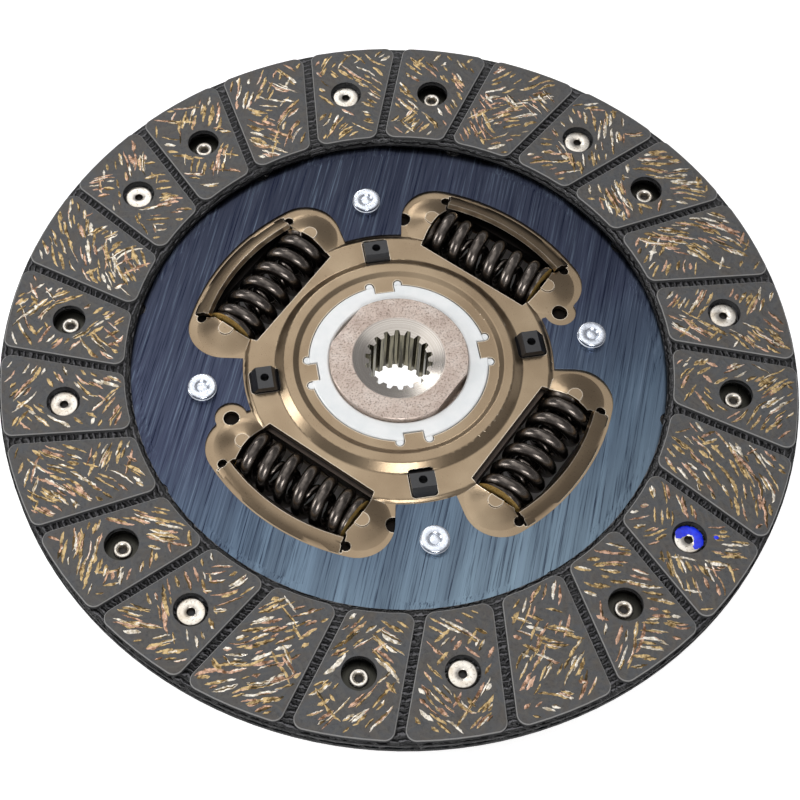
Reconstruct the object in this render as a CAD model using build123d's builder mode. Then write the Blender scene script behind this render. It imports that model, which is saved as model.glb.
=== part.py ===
"""Clutch disc with a sprung hub: a dry single-plate friction disc for a manual gearbox.

Two moulded friction facings are riveted to the waved rim of a blued spring-steel
cushion plate. Four stop pins clamp that plate between them with two pressed
retainer plates. The splined hub carries a flange that lies between the retainer
plates, and four coil springs in windows pass the torque from the plates to it.

Millimetres. +Z runs along the hub's axis, and Z = 0 is the hub's rear end.
"""

from build123d import *
from math import asin, cos, degrees, radians, sin, sqrt
import os

os.makedirs("parts", exist_ok=True)

# ------------------------------------------------------------------ hub
hub_length = 22.6
hub_barrel_radius = 21.1
hub_flat_distance = 19.5          # the two flats on the front barrel, from the axis
hub_flat_angle = 135.0
hub_nose_radius = 18.5            # plain rear nose below the flange
hub_nose_length = 4.6
hub_edge_break = 0.5
spline_teeth = 18
spline_minor_radius = 8.95
spline_major_radius = 10.4
spline_space_width = 1.9          # at the minor radius
spline_space_taper = 0.62         # width at the major radius over that at the minor radius
spline_turn = 3.0                 # first space, from +X
front_cone_radius = 14.2
front_cone_depth = 1.75
rear_cone_radius = 11.6
rear_cone_depth = 1.0
flange_middle = 14.5              # height of the middle of the hub flange
flange_thickness = 3.6
flange_radius = 64.5
running_gap = 0.3                 # between faces that turn past each other

# ------------------------------------------------------------------ damper springs
spring_count = 4
spring_first_angle = 45.0
spring_circle_radius = 49.4
spring_outer_radius = 8.15        # at the crests
spring_wire = 4.0
spring_pitch = 6.4
spring_length = 38.2
spring_crests = [2.2, -2.1, -1.5, 2.5]   # where one coil tops out along each spring
closed_gap = 0.2                  # between the closed end coils
inner_outer_radius = 3.95         # second spring inside each, wound the other way
inner_wire = 2.4
inner_pitch = 4.3
inner_crest = 0.6
window_half_length = 19.4
window_inner_edge = 39.5          # straight inner edge of the plates' windows
flange_window_inner_edge = 40.6
flange_window_outer_edge = 58.2
flange_window_corner = 0.6

# ------------------------------------------------------------------ retainer plates
plate_thickness = 1.6
front_plate_radius = 68.0
rear_plate_radius = 66.0
plate_bore_radius = 27.4
floor_outer_radius = 30.3
floor_rise = 2.2                  # dish floor above the window level
band_inner_radius = 31.9
band_outer_radius = 34.8
band_rise = 3.1                   # raised ring round the dish
annulus_inner_radius = 37.5
annulus_outer_radius = 45.6
annulus_rise = 0.8                # annulus with the lug windows
step_radius = 46.7
press_radius = 1.1                # bends in the pressed plates
lip_root_radius = 65.0
lip_crest_radius = 60.6
lip_rise = 2.0
lip_half_angle = 19.9
lip_slit_angle = 0.5
relief_hole_radius = 1.45
relief_circle_radius = 62.4
relief_half_angle = 21.0
window_end_bulge = 1.1            # the end edges of the front windows bow outwards
window_shoulder = 55.0            # where they meet the slits beside the lip
dome_rise = 2.2                   # pressed domes round the spring ends
dome_foot = (10.6, -0.12)         # radius and depth where the dome has run out
dome_offset = 20.6                # dome centre along the spring
pip_width = 4.4                   # half-round raised pips beside the spring ends
pip_length = 3.4
pip_rise = 0.3                    # pip top above the dome's crown
gauge_hole_radius = 2.4
gauge_circle_radius = 53.5
gauge_half_angle = 33.6
tab_radius = 24.8                 # inner end of the four tabs that key the front bush
tab_width = 5.8
ear_radius = 27.3
ear_offset = 4.4
ear_notch_radius = 1.4
rear_bore_radius = 26.0
rear_dish_drop = 3.4              # room for the friction stack behind the flange
rear_dish_radius = 43.0
rear_slope = 3.0

# ------------------------------------------------------------------ stop pins
pin_count = 4
pin_circle_radius = 59.8
pin_head_radius = 4.25
pin_head_height = 2.5
pin_neck_radius = 3.85
pin_groove_height = 0.3
pin_shank_radius = 3.3
pin_shoulder_radius = 4.3
pin_recess_radius = 1.9
pin_recess_depth = 0.5
pin_tail_height = 1.6
hole_clearance = 0.05             # round every rivet and pin shank

# ------------------------------------------------------------------ cushion plate
cushion_thickness = 0.8
cushion_wave = 0.7                # free height of the waved rim
cushion_outer_radius = 118.8
paddle_root_radius = 80.0
paddle_root_slope = 2.4
paddle_count = 8
paddle_slot_angle = 3.4
slot_root_radius = 2.6
wave_feet = (-10.0, 15.0)         # degrees from the front rivet, where a paddle's wave rises
wave_crest = (-6.0, 11.0)         # and where it lies level under the front facing
opening_lobe_radius = 65.7
opening_lobe_half_angle = 34.0
opening_corner_radius = 11.0
opening_ear_radius = 4.9
opening_gap = 0.5                 # between the opening and the annulus step

# ------------------------------------------------------------------ facings
facing_thickness = 3.5
facing_outer_radius = 120.0
facing_inner_radius = 81.0
pad_outer_step = 0.6              # rim left below the pads, outside
pad_inner_step = 1.5              # and inside
pad_count = 24
pad_turn = -0.75                  # pads' middle at the rivet circle, from the front rivets
pad_corner_radius = 3.0
pad_edge_break = 0.3
groove_width = 2.6
groove_depth = 1.6
groove_line_offset = 20.2         # each groove's centre line passes the axis at this distance

# ------------------------------------------------------------------ facing rivets
rivet_count = 8
rivet_circle_radius = 101.0
rear_rivet_turn = -16.2           # rear facing's rivets, from the front facing's
rivet_pocket_radius = 5.0
rivet_head_radius = 4.2
rivet_head_depth = 1.5            # outer face of the head below the facing's face
rivet_head_thickness = 0.9
rivet_shank_radius = 2.1
rivet_bore_radius = 1.3
rivet_tail_radius = 2.8
rivet_tail_height = 0.9

# ------------------------------------------------------------------ bushes and friction stack
bush_clearance = 0.05             # running fit of the bushes on the barrel
bush_radius = 27.1
bush_above_floor = 0.5
bush_mouth_chamfer = 0.5
bush_edge_break = 0.35
bush_collar_radius = 30.2
bush_collar_thickness = 2.2
bush_slot_radius = 24.4
bush_slot_width = 6.3
bush_ear_radius = 1.1
rear_bush_radius = 25.9
rear_bush_collar_radius = 29.5
friction_ring_inner_radius = 33.0
friction_ring_outer_radius = 45.15
friction_ring_thickness = 0.8
lug_circle_radius = 40.9
lug_radial_length = 8.5
lug_top_length = 4.7
lug_width = 7.4
lug_height = 4.1                  # above the ring
lug_corner_radius = 1.2
lug_hole_radius = 1.3
lug_window_gap = 0.25
stack_inner_radius = 30.0         # rear friction washer, pressure ring and disc spring
stack_outer_radius = 39.0
friction_washer_thickness = 1.2
pressure_ring_thickness = 1.0
disc_spring_thickness = 0.6

# ------------------------------------------------------------------ travel
hub_travel = 7.0                  # degrees each way, where the stop pins meet the flange

# ------------------------------------------------------------------ levels worked out from these
flange_top = flange_middle + flange_thickness / 2
flange_bottom = flange_middle - flange_thickness / 2
front_plate_bottom = flange_top + running_gap
front_plate_top = front_plate_bottom + plate_thickness
rear_plate_top = flange_bottom - running_gap
rear_plate_bottom = rear_plate_top - plate_thickness
cushion_bottom = front_plate_top
cushion_top = cushion_bottom + cushion_thickness
wave_top = cushion_top + cushion_wave
front_facing_top = wave_top + facing_thickness
rear_facing_bottom = cushion_bottom - facing_thickness
spring_mean_radius = spring_outer_radius - spring_wire / 2
inner_mean_radius = inner_outer_radius - inner_wire / 2
spring_angles = [spring_first_angle + 360 / spring_count * n for n in range(spring_count)]


def polar(radius, angle):
    """Point at a radius and an angle in degrees."""
    return (radius * cos(radians(angle)), radius * sin(radians(angle)))


# ================================================================== facings
def facing_ring():
    """One facing with its pads upwards, lying on Z = 0, with no holes yet."""
    groove_turn = degrees(asin(groove_line_offset / rivet_circle_radius))
    first_groove = 180 / pad_count + pad_turn - groove_turn
    with BuildPart() as ring:
        with BuildSketch():
            Circle(facing_outer_radius)
            Circle(facing_inner_radius, mode=Mode.SUBTRACT)
        extrude(amount=facing_thickness - groove_depth)
        with BuildSketch(Plane.XY.offset(facing_thickness - groove_depth)) as pads:
            Circle(facing_outer_radius - pad_outer_step)
            Circle(facing_inner_radius + pad_inner_step, mode=Mode.SUBTRACT)
            with PolarLocations(0, pad_count, start_angle=first_groove):
                with Locations((rivet_circle_radius, groove_line_offset)):
                    Rectangle(facing_outer_radius, groove_width, mode=Mode.SUBTRACT)
            fillet(pads.vertices(), pad_corner_radius)
        extrude(amount=groove_depth)
        chamfer(ring.faces().sort_by(Axis.Z)[-pad_count:].edges(), pad_edge_break)
    return ring.part


web_thickness = facing_thickness - rivet_head_depth - rivet_head_thickness
with BuildPart(mode=Mode.PRIVATE) as facing:
    add(facing_ring())
    # pockets for its own rivet heads, and clear holes over the other facing's rivets
    with BuildSketch(Plane.XY.offset(web_thickness)):
        with PolarLocations(rivet_circle_radius, rivet_count):
            Circle(rivet_pocket_radius)
    extrude(amount=facing_thickness, mode=Mode.SUBTRACT)
    with BuildSketch():
        with PolarLocations(rivet_circle_radius, rivet_count):
            Circle(rivet_shank_radius + hole_clearance)
        with PolarLocations(rivet_circle_radius, rivet_count, start_angle=rear_rivet_turn):
            Circle(rivet_pocket_radius)
    extrude(amount=facing_thickness, mode=Mode.SUBTRACT)

front_seat = Plane(origin=(0, 0, wave_top))
rear_seat = Plane(
    origin=(0, 0, cushion_bottom),
    x_dir=(cos(radians(rear_rivet_turn)), sin(radians(rear_rivet_turn)), 0),
    z_dir=(0, 0, -1),
)
with BuildPart() as facing_front:
    with Locations(front_seat):
        add(facing.part)
facing_front.part.label = "facing_front"
export_step(facing_front.part, "parts/facing_front.step")

with BuildPart() as facing_rear:
    # the same moulding, turned over
    with Locations(rear_seat):
        add(facing.part)
facing_rear.part.label = "facing_rear"
export_step(facing_rear.part, "parts/facing_rear.step")


# ================================================================== facing rivets
with BuildPart(mode=Mode.PRIVATE) as facing_rivet:
    # tubular, its head's outer face on Z = 0 and its shank down -Z
    tail_top = -(rivet_head_thickness + web_thickness + cushion_thickness)
    tail_end = tail_top - rivet_tail_height
    with BuildSketch(Plane.XZ):
        with BuildLine():
            Polyline(
                (rivet_bore_radius, -0.35),
                (rivet_bore_radius + 0.35, 0),
                (rivet_head_radius - 0.2, 0),
                (rivet_head_radius, -0.2),
                (rivet_head_radius, -rivet_head_thickness),
                (rivet_shank_radius, -rivet_head_thickness),
                (rivet_shank_radius, tail_top),
                (rivet_tail_radius, tail_top),
            )
            ThreePointArc(
                (rivet_tail_radius, tail_top),
                ((rivet_tail_radius + rivet_bore_radius) / 2 + 0.4, tail_end + 0.06),
                (rivet_bore_radius, tail_end + rivet_tail_height / 2),
            )
            Line((rivet_bore_radius, tail_end + rivet_tail_height / 2), (rivet_bore_radius, -0.35))
        make_face()
    revolve(axis=Axis.Z)

with BuildPart() as front_facing_rivets:
    with Locations(front_seat.offset(facing_thickness - rivet_head_depth)):
        with PolarLocations(rivet_circle_radius, rivet_count):
            add(facing_rivet.part)
front_facing_rivets.part.label = "front_facing_rivets"
export_step(front_facing_rivets.part, "parts/front_facing_rivets.step")

with BuildPart() as rear_facing_rivets:
    with Locations(rear_seat.offset(facing_thickness - rivet_head_depth)):
        with PolarLocations(rivet_circle_radius, rivet_count):
            add(facing_rivet.part)
rear_facing_rivets.part.label = "rear_facing_rivets"
export_step(rear_facing_rivets.part, "parts/rear_facing_rivets.step")


# ================================================================== cushion plate
def sector(inner, outer, low, high):
    """Sketch between two radii and two angles."""
    middle = (low + high) / 2
    with BuildSketch() as area:
        with BuildLine():
            Line(polar(inner, low), polar(outer, low))
            ThreePointArc(polar(outer, low), polar(outer, middle), polar(outer, high))
            Line(polar(outer, high), polar(inner, high))
            ThreePointArc(polar(inner, high), polar(inner, middle), polar(inner, low))
        make_face()
    return area.sketch


# raised middle of one paddle, on Z = 0: level on top, sloping to its two sides and its root
wave_foot = sector(paddle_root_radius - paddle_root_slope, cushion_outer_radius, *wave_feet)
wave_level = sector(paddle_root_radius, cushion_outer_radius, *wave_crest)
with BuildPart(mode=Mode.PRIVATE) as paddle_wave:
    with BuildSketch():
        add(wave_foot)
    with BuildSketch(Plane.XY.offset(cushion_wave)):
        add(wave_level)
    loft(ruled=True)


def window_plane(angle, height):
    """Plane at one spring window: its Y points outwards from the axis, its X along the spring."""
    out = polar(1, angle)
    return Plane(origin=(0, 0, height), x_dir=(out[1], -out[0], 0), z_dir=(0, 0, 1))


with BuildPart() as cushion_plate:
    with BuildSketch(Plane.XY.offset(cushion_bottom)):
        Circle(cushion_outer_radius)
        # slots between the paddles, with round roots
        for number in range(paddle_count):
            middle = 360 / paddle_count * (number + 0.5)
            slot = sector(
                paddle_root_radius + slot_root_radius,
                cushion_outer_radius + 1,
                middle - paddle_slot_angle / 2,
                middle + paddle_slot_angle / 2,
            )
            add(slot, mode=Mode.SUBTRACT)
            with Locations(polar(paddle_root_radius + slot_root_radius, middle)):
                Circle(slot_root_radius, mode=Mode.SUBTRACT)
        with BuildSketch(mode=Mode.SUBTRACT) as opening:
            for angle in spring_angles:
                with BuildSketch() as lobe:
                    with BuildLine():
                        start = polar(annulus_inner_radius, angle - opening_lobe_half_angle)
                        first = polar(opening_lobe_radius, angle - opening_lobe_half_angle)
                        last = polar(opening_lobe_radius, angle + opening_lobe_half_angle)
                        end = polar(annulus_inner_radius, angle + opening_lobe_half_angle)
                        Line(start, first)
                        ThreePointArc(first, polar(opening_lobe_radius, angle), last)
                        Line(last, end)
                        Line(end, start)
                    make_face()
                    outer_corners = [
                        corner
                        for corner in lobe.vertices()
                        if sqrt(corner.X ** 2 + corner.Y ** 2) > step_radius
                    ]
                    fillet(outer_corners, opening_corner_radius)
            for angle in (spring_angles[0], spring_angles[2]):
                with Locations(polar(gauge_circle_radius, angle - gauge_half_angle)):
                    Circle(opening_ear_radius)
            Circle(step_radius + opening_gap)
    extrude(amount=cushion_thickness)
    with Locations((0, 0, cushion_top)):
        with PolarLocations(0, paddle_count):
            add(paddle_wave.part)
    with Locations((0, 0, cushion_bottom)):
        with PolarLocations(0, paddle_count):
            add(paddle_wave.part, mode=Mode.SUBTRACT)
    with BuildSketch(Plane.XY.offset(cushion_bottom)):
        with PolarLocations(pin_circle_radius, pin_count):
            Circle(pin_shank_radius + hole_clearance)
        with PolarLocations(rivet_circle_radius, rivet_count):
            Circle(rivet_shank_radius + hole_clearance)
        with PolarLocations(rivet_circle_radius, rivet_count, start_angle=rear_rivet_turn):
            Circle(rivet_shank_radius + hole_clearance)
    extrude(amount=cushion_wave + cushion_thickness, mode=Mode.SUBTRACT)
cushion_plate.part.label = "cushion_plate"
export_step(cushion_plate.part, "parts/cushion_plate.step")


# ================================================================== retainer plates
def sheet_section(points):
    """Face of a pressed sheet: the line of its upper side, and the same line one thickness lower."""
    lower = [(radius, height - plate_thickness) for radius, height in points]
    FilletPolyline(*points, radius=press_radius)
    FilletPolyline(*lower, radius=press_radius)
    Line(points[0], lower[0])
    Line(points[-1], lower[-1])


def lip(bottom):
    """Raised lip along a window's outer edge, on a plate whose underside is at the given height."""
    top = bottom + plate_thickness
    crest = top + lip_rise
    shear_in = 0.9                # the sheared end face leans with the sheet
    shear_down = 1.3
    with BuildPart() as one:
        with BuildSketch(Plane.XZ.rotated((0, 0, -lip_half_angle))):
            with BuildLine():
                ThreePointArc(
                    (lip_root_radius, top),
                    (lip_root_radius - 2.2, top + lip_rise * 0.62),
                    (lip_crest_radius, crest),
                )
                Line((lip_crest_radius, crest), (lip_crest_radius - shear_in, crest - shear_down))
                ThreePointArc(
                    (lip_crest_radius - shear_in, crest - shear_down),
                    (lip_root_radius - 3.2, bottom + lip_rise * 0.62 + 0.35),
                    (lip_root_radius - 0.7, bottom),
                )
                Line((lip_root_radius - 0.7, bottom), (lip_root_radius, bottom))
                Line((lip_root_radius, bottom), (lip_root_radius, top))
            make_face()
        revolve(axis=Axis.Z, revolution_arc=2 * lip_half_angle)
    return one.part


def window_outline(bulge):
    """Outline of a window and of the strip that its lip was bent from, in the window's own plane."""
    slit = lip_half_angle + lip_slit_angle
    corner = window_half_length - 0.4
    shoulder = (window_half_length + bulge / 2, window_shoulder)
    strip_inner = polar(lip_crest_radius - 1.4, 90 - slit)
    strip_outer = polar(lip_root_radius - 0.3, 90 - slit)
    right = [(corner, window_inner_edge), shoulder, strip_inner, strip_outer]
    left = [(-x, y) for x, y in right]
    middle = (window_inner_edge + window_shoulder) / 2
    with BuildSketch() as outline:
        with BuildLine():
            Line(left[0], right[0])
            ThreePointArc(right[0], (window_half_length + bulge, middle), right[1])
            Polyline(right[1:])
            ThreePointArc(right[3], (0, lip_root_radius - 0.3), left[3])
            Polyline(left[1:])
            ThreePointArc(left[1], (-window_half_length - bulge, middle), left[0])
        make_face()
    return outline.sketch


# smooth bell on Z = 0, the form pressed into the front plate round each spring end
with BuildPart(mode=Mode.PRIVATE) as dome:
    with BuildSketch(Plane.XZ):
        with BuildLine():
            Spline((0, dome_rise), dome_foot, tangents=((1, 0), (1, -0.08)))
            Line(dome_foot, (dome_foot[0], 2 * dome_foot[1]))
            Line((dome_foot[0], 2 * dome_foot[1]), (0, 2 * dome_foot[1]))
            Line((0, 2 * dome_foot[1]), (0, dome_rise))
        make_face()
    revolve(axis=Axis.Z)


def pip_outline():
    """Outlines of the two half-round pips at the ends of one window."""
    reach = window_half_length + window_end_bulge + pip_length - pip_width / 2
    with BuildSketch() as outline:
        for side in (1, -1):
            with Locations((side * reach, spring_circle_radius)):
                Circle(pip_width / 2)
        with Locations((0, spring_circle_radius)):
            Rectangle(2 * reach, pip_width)
    return outline.sketch


with BuildPart() as retainer_plate_front:
    with BuildSketch(Plane.XZ):
        with BuildLine():
            sheet_section(
                [
                    (plate_bore_radius, front_plate_top + floor_rise),
                    (floor_outer_radius, front_plate_top + floor_rise),
                    (band_inner_radius, front_plate_top + band_rise),
                    (band_outer_radius, front_plate_top + band_rise),
                    (annulus_inner_radius, front_plate_top + annulus_rise),
                    (annulus_outer_radius, front_plate_top + annulus_rise),
                    (step_radius, front_plate_top),
                    (front_plate_radius, front_plate_top),
                ]
            )
        make_face()
    revolve(axis=Axis.Z)
    # domes round the spring ends, hollow below, each with a pip beside the spring
    for angle in spring_angles:
        with Locations(window_plane(angle, front_plate_top)):
            with Locations((dome_offset, spring_circle_radius), (-dome_offset, spring_circle_radius)):
                add(dome.part)
        with Locations(window_plane(angle, front_plate_bottom)):
            with Locations((dome_offset, spring_circle_radius), (-dome_offset, spring_circle_radius)):
                add(dome.part, mode=Mode.SUBTRACT)
        with BuildSketch(window_plane(angle, front_plate_top + dome_rise / 2)):
            add(pip_outline())
        extrude(amount=dome_rise / 2 + pip_rise)
        with BuildSketch(window_plane(angle, front_plate_bottom - dome_rise)):
            add(window_outline(window_end_bulge))
        extrude(amount=4 * dome_rise, mode=Mode.SUBTRACT)
    front_lip = lip(front_plate_bottom)
    with PolarLocations(0, spring_count, start_angle=spring_first_angle):
        add(front_lip)
    with BuildSketch(Plane.XY.offset(front_plate_bottom)):
        for angle in spring_angles:
            for side in (1, -1):
                with Locations(polar(relief_circle_radius, angle + side * relief_half_angle)):
                    Circle(relief_hole_radius)
        for angle in (spring_angles[0], spring_angles[2]):
            for side in (1, -1):
                with Locations(polar(gauge_circle_radius, angle + side * gauge_half_angle)):
                    Circle(gauge_hole_radius)
        with PolarLocations(pin_circle_radius, pin_count):
            Circle(pin_shank_radius + hole_clearance)
        with PolarLocations(lug_circle_radius, pin_count):
            RectangleRounded(
                lug_radial_length + 2 * lug_window_gap,
                lug_width + 2 * lug_window_gap,
                lug_corner_radius,
            )
        with PolarLocations(ear_radius, pin_count):
            with Locations((0, ear_offset), (0, -ear_offset)):
                Circle(ear_notch_radius)
    extrude(amount=band_rise + plate_thickness + dome_rise, mode=Mode.SUBTRACT)
    # tabs that key the bush
    with BuildSketch(Plane.XY.offset(front_plate_bottom + floor_rise)):
        with PolarLocations((tab_radius + plate_bore_radius + 0.4) / 2, pin_count):
            Rectangle(plate_bore_radius + 0.4 - tab_radius, tab_width)
    extrude(amount=plate_thickness)
retainer_plate_front.part.label = "retainer_plate_front"
export_step(retainer_plate_front.part, "parts/retainer_plate_front.step")

# rear plate, drawn with its inner side down
with BuildPart(mode=Mode.PRIVATE) as upright:
    with BuildSketch(Plane.XZ):
        with BuildLine():
            sheet_section(
                [
                    (rear_bore_radius, plate_thickness + rear_dish_drop),
                    (rear_dish_radius - rear_slope, plate_thickness + rear_dish_drop),
                    (rear_dish_radius, plate_thickness),
                    (rear_plate_radius, plate_thickness),
                ]
            )
        make_face()
    revolve(axis=Axis.Z)
    for angle in spring_angles:
        with BuildSketch(window_plane(angle, -dome_rise)):
            add(window_outline(0.3))
        extrude(amount=4 * dome_rise, mode=Mode.SUBTRACT)
    rear_lip = lip(0)
    with PolarLocations(0, spring_count, start_angle=spring_first_angle):
        add(rear_lip)
    with BuildSketch():
        for angle in spring_angles:
            for side in (1, -1):
                with Locations(polar(relief_circle_radius, angle + side * relief_half_angle)):
                    Circle(relief_hole_radius)
        with PolarLocations(pin_circle_radius, pin_count):
            Circle(pin_shank_radius + hole_clearance)
    extrude(amount=plate_thickness, mode=Mode.SUBTRACT)

# turned over and set behind the flange
with BuildPart() as retainer_plate_rear:
    with Locations(Location((0, 0, rear_plate_top), (180, 0, 0))):
        add(upright.part)
retainer_plate_rear.part.label = "retainer_plate_rear"
export_step(retainer_plate_rear.part, "parts/retainer_plate_rear.step")


# ================================================================== stop pins
with BuildPart(mode=Mode.PRIVATE) as stop_pin:
    # its front head clamps the cushion plate and the front plate down to the shoulder
    head_top = cushion_top + pin_head_height
    groove = cushion_top + pin_head_height * 0.55
    with BuildSketch(Plane.XZ):
        with BuildLine():
            Polyline(
                (0, head_top),
                (pin_head_radius - 0.25, head_top),
                (pin_head_radius, head_top - 0.25),
                (pin_head_radius, groove + pin_groove_height),
                (pin_neck_radius, groove + pin_groove_height),
                (pin_neck_radius, groove),
                (pin_head_radius, groove),
                (pin_head_radius, cushion_top),
                (pin_shank_radius, cushion_top),
                (pin_shank_radius, front_plate_bottom),
                (pin_shoulder_radius, front_plate_bottom),
                (pin_shoulder_radius, rear_plate_top),
                (pin_shank_radius, rear_plate_top),
                (pin_shank_radius, rear_plate_bottom),
                (pin_head_radius, rear_plate_bottom),
                (pin_head_radius, rear_plate_bottom - pin_tail_height * 0.4),
                (pin_head_radius * 0.6, rear_plate_bottom - pin_tail_height),
                (0, rear_plate_bottom - pin_tail_height),
                close=True,
            )
        make_face()
    revolve(axis=Axis.Z)
    with BuildSketch(Plane.XY.offset(head_top - pin_recess_depth)):
        RegularPolygon(pin_recess_radius, 8)
    extrude(amount=pin_recess_depth, mode=Mode.SUBTRACT)


for number in range(pin_count):
    with BuildPart() as pin:
        with Locations(polar(pin_circle_radius, 360 / pin_count * number)):
            add(stop_pin.part)
    pin.part.label = f"stop_pin_{number + 1}"
    export_step(pin.part, f"parts/stop_pin_{number + 1}.step")


# ================================================================== hub
with BuildPart() as hub:
    with BuildSketch(Plane.XZ):
        with BuildLine():
            Polyline(
                (spline_minor_radius, rear_cone_depth),
                (rear_cone_radius, 0),
                (hub_nose_radius - hub_edge_break, 0),
                (hub_nose_radius, hub_edge_break),
                (hub_nose_radius, hub_nose_length),
                (hub_barrel_radius, hub_nose_length + hub_barrel_radius - hub_nose_radius),
                (hub_barrel_radius, flange_bottom),
                (flange_radius, flange_bottom),
                (flange_radius, flange_top),
                (hub_barrel_radius, flange_top),
                (hub_barrel_radius, hub_length - hub_edge_break / 2),
                (hub_barrel_radius - hub_edge_break / 2, hub_length),
                (front_cone_radius, hub_length),
                (spline_minor_radius, hub_length - front_cone_depth),
                close=True,
            )
        make_face()
    revolve(axis=Axis.Z)
    # two flats on the front barrel
    with BuildSketch(Plane.XY.offset(flange_top)):
        with PolarLocations(hub_flat_distance + hub_barrel_radius / 2, 2, start_angle=hub_flat_angle):
            Rectangle(hub_barrel_radius, 2 * hub_barrel_radius)
    extrude(amount=hub_length, mode=Mode.SUBTRACT)
    # tapered spline spaces with rounded roots
    root_half = spline_space_width * spline_space_taper / 2
    with BuildSketch(mode=Mode.PRIVATE) as space:
        with BuildLine():
            Polyline(
                (spline_minor_radius - 1, -spline_space_width / 2),
                (spline_minor_radius, -spline_space_width / 2),
                (spline_major_radius, -root_half),
                (spline_major_radius, root_half),
                (spline_minor_radius, spline_space_width / 2),
                (spline_minor_radius - 1, spline_space_width / 2),
                close=True,
            )
        make_face()
        fillet(space.vertices().sort_by(Axis.X)[-2:], root_half * 0.6)
    with BuildSketch():
        with PolarLocations(0, spline_teeth, start_angle=spline_turn):
            add(space.sketch)
    extrude(amount=hub_length, mode=Mode.SUBTRACT)
    # spring windows and the slots that the stop pins travel in
    slot_half_angle = hub_travel + degrees(asin((pin_shoulder_radius + hole_clearance) / pin_circle_radius))
    slot_floor = pin_circle_radius - pin_shoulder_radius - running_gap
    for angle in spring_angles:
        with BuildSketch(window_plane(angle, flange_bottom)):
            with Locations((0, (flange_window_inner_edge + flange_window_outer_edge) / 2)):
                RectangleRounded(
                    2 * window_half_length,
                    flange_window_outer_edge - flange_window_inner_edge,
                    flange_window_corner,
                )
        extrude(amount=flange_thickness, mode=Mode.SUBTRACT)
    with BuildSketch(Plane.XY.offset(flange_bottom)):
        for number in range(pin_count):
            middle = 360 / pin_count * number
            with BuildLine():
                Line(polar(slot_floor, middle - slot_half_angle), polar(flange_radius + 2, middle - slot_half_angle))
                ThreePointArc(
                    polar(flange_radius + 2, middle - slot_half_angle),
                    polar(flange_radius + 2, middle),
                    polar(flange_radius + 2, middle + slot_half_angle),
                )
                Line(polar(flange_radius + 2, middle + slot_half_angle), polar(slot_floor, middle + slot_half_angle))
                ThreePointArc(
                    polar(slot_floor, middle + slot_half_angle),
                    polar(slot_floor, middle),
                    polar(slot_floor, middle - slot_half_angle),
                )
            make_face()
    extrude(amount=flange_thickness, mode=Mode.SUBTRACT)
hub.part.label = "hub"
export_step(hub.part, "parts/hub.step")


# ================================================================== damper springs
def wound_coil(mean_radius, wire, pitch, crest, hand):
    """Coil along Z, wound in half turns from one crest on +X, its ends closed and ground flat."""
    half_length = spring_length / 2
    levels = [crest]
    for way in (1, -1):
        level = crest
        while way * level < half_length + wire / 2:
            closing = way * level > half_length - wire
            level += way * (wire + closed_gap if closing else pitch) / 2
            levels.append(level)
    levels.sort()
    side = 1 if levels.index(crest) % 2 == 0 else -1
    with BuildPart() as coil:
        for low, high in zip(levels[:-1], levels[1:]):
            start = (side * mean_radius, 0, low)
            axis = Axis((0, 0, (low + high) / 2), (side * (high - low) / 2, 0, mean_radius))
            with BuildSketch(Plane(origin=start, x_dir=(1, 0, 0), z_dir=(0, -1, 0))):
                Circle(wire / 2)
            revolve(axis=axis, revolution_arc=180 * hand)
            side = -side
        Box(6 * mean_radius, 6 * mean_radius, spring_length, mode=Mode.INTERSECT)
    return coil.part


inner_coil = wound_coil(inner_mean_radius, inner_wire, inner_pitch, inner_crest, -1)
for number, angle in enumerate(spring_angles):
    out = polar(1, angle)
    seat = Plane(
        origin=(spring_circle_radius * out[0], spring_circle_radius * out[1], flange_middle),
        x_dir=(0, 0, 1),
        z_dir=(out[1], -out[0], 0),
    )
    outer_coil = wound_coil(spring_mean_radius, spring_wire, spring_pitch, spring_crests[number], 1)
    with BuildPart() as spring:
        with Locations(seat):
            add(outer_coil)
    spring.part.label = f"spring_{number + 1}"
    export_step(spring.part, f"parts/spring_{number + 1}.step")
    with BuildPart() as inner_spring:
        with Locations(seat):
            add(inner_coil)
    inner_spring.part.label = f"inner_spring_{number + 1}"
    export_step(inner_spring.part, f"parts/inner_spring_{number + 1}.step")


# ================================================================== bushes
front_bush_top = front_plate_top + floor_rise + bush_above_floor
floor_underside = front_plate_bottom + floor_rise
with BuildPart() as hub_bush_front:
    bore_radius = hub_barrel_radius + bush_clearance
    with BuildSketch(Plane.XZ):
        with BuildLine():
            Polyline(
                (bore_radius, floor_underside - bush_collar_thickness),
                (bush_collar_radius, floor_underside - bush_collar_thickness),
                (bush_collar_radius, floor_underside),
                (bush_radius, floor_underside),
                (bush_radius, front_bush_top - bush_edge_break),
                (bush_radius - bush_edge_break, front_bush_top),
                (bore_radius + bush_mouth_chamfer, front_bush_top),
                (bore_radius, front_bush_top - bush_mouth_chamfer),
                close=True,
            )
        make_face()
    revolve(axis=Axis.Z)
    with BuildSketch(Plane.XY.offset(floor_underside)):
        with PolarLocations((bush_slot_radius + bush_collar_radius) / 2, pin_count):
            Rectangle(bush_collar_radius - bush_slot_radius, bush_slot_width)
    extrude(amount=plate_thickness + bush_above_floor, mode=Mode.SUBTRACT)
    with BuildSketch(Plane.XY.offset(floor_underside)):
        with PolarLocations(ear_radius, pin_count):
            with Locations((0, ear_offset), (0, -ear_offset)):
                Circle(bush_ear_radius)
    extrude(amount=plate_thickness)
hub_bush_front.part.label = "hub_bush_front"
export_step(hub_bush_front.part, "parts/hub_bush_front.step")

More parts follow.
